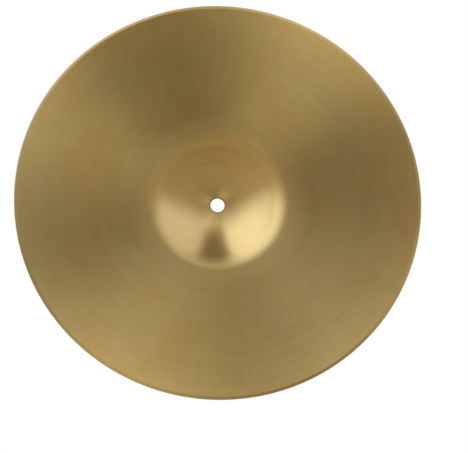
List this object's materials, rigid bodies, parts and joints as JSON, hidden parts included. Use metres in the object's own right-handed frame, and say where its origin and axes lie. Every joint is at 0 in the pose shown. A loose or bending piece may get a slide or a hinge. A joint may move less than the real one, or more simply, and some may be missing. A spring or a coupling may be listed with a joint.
{
  "type": "crash cymbal",
  "caption": "Bare crash cymbal: a thin, gently arched brass disc with a domed bell and a centre hole for a stand's sleeve.",
  "frame": {"origin": "centre of the circle that it stands on, just inside the rim, with the bell up", "axes": "+Z along the axis of revolution, out of the top of the bell; X and Y lie in the rim's plane"},
  "size_m": [0.3556, 0.3556, 0.032],
  "materials": {
    "brass": "satin brass, brushed in rings round the axis on the bow, smoother on the bell"
  },
  "bodies": {
    "root": {"cymbal": "brass"}
  },
  "joints": []
}
